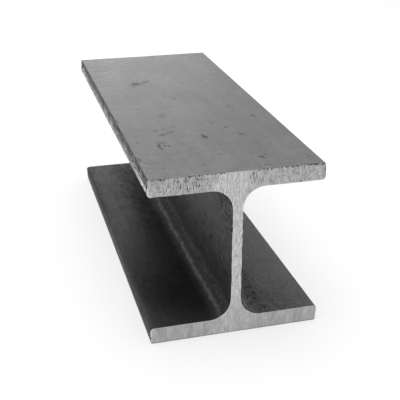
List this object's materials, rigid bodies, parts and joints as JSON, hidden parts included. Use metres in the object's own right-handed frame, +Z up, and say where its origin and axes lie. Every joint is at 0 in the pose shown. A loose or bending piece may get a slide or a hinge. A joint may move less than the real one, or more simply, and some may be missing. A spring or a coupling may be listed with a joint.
{
  "type": "steel i-beam",
  "caption": "Short saw-cut length of hot-rolled steel I-beam with wide parallel flanges, a thinner web and rounded root fillets, for use as beam, post or bracket stock.",
  "frame": {"origin": "centre of the lower flange's underside, midway along the beam", "axes": "+X across the flanges to the right as seen from the front end, +Y along the beam from the front end to the back end, +Z up from the lower flange to the upper one"},
  "size_m": [0.1, 0.25, 0.1],
  "materials": {
    "mill_steel": "grey mill scale as rolled, with bright saw-cut ends"
  },
  "bodies": {
    "root": {"i_beam": "mill_steel"}
  },
  "joints": []
}
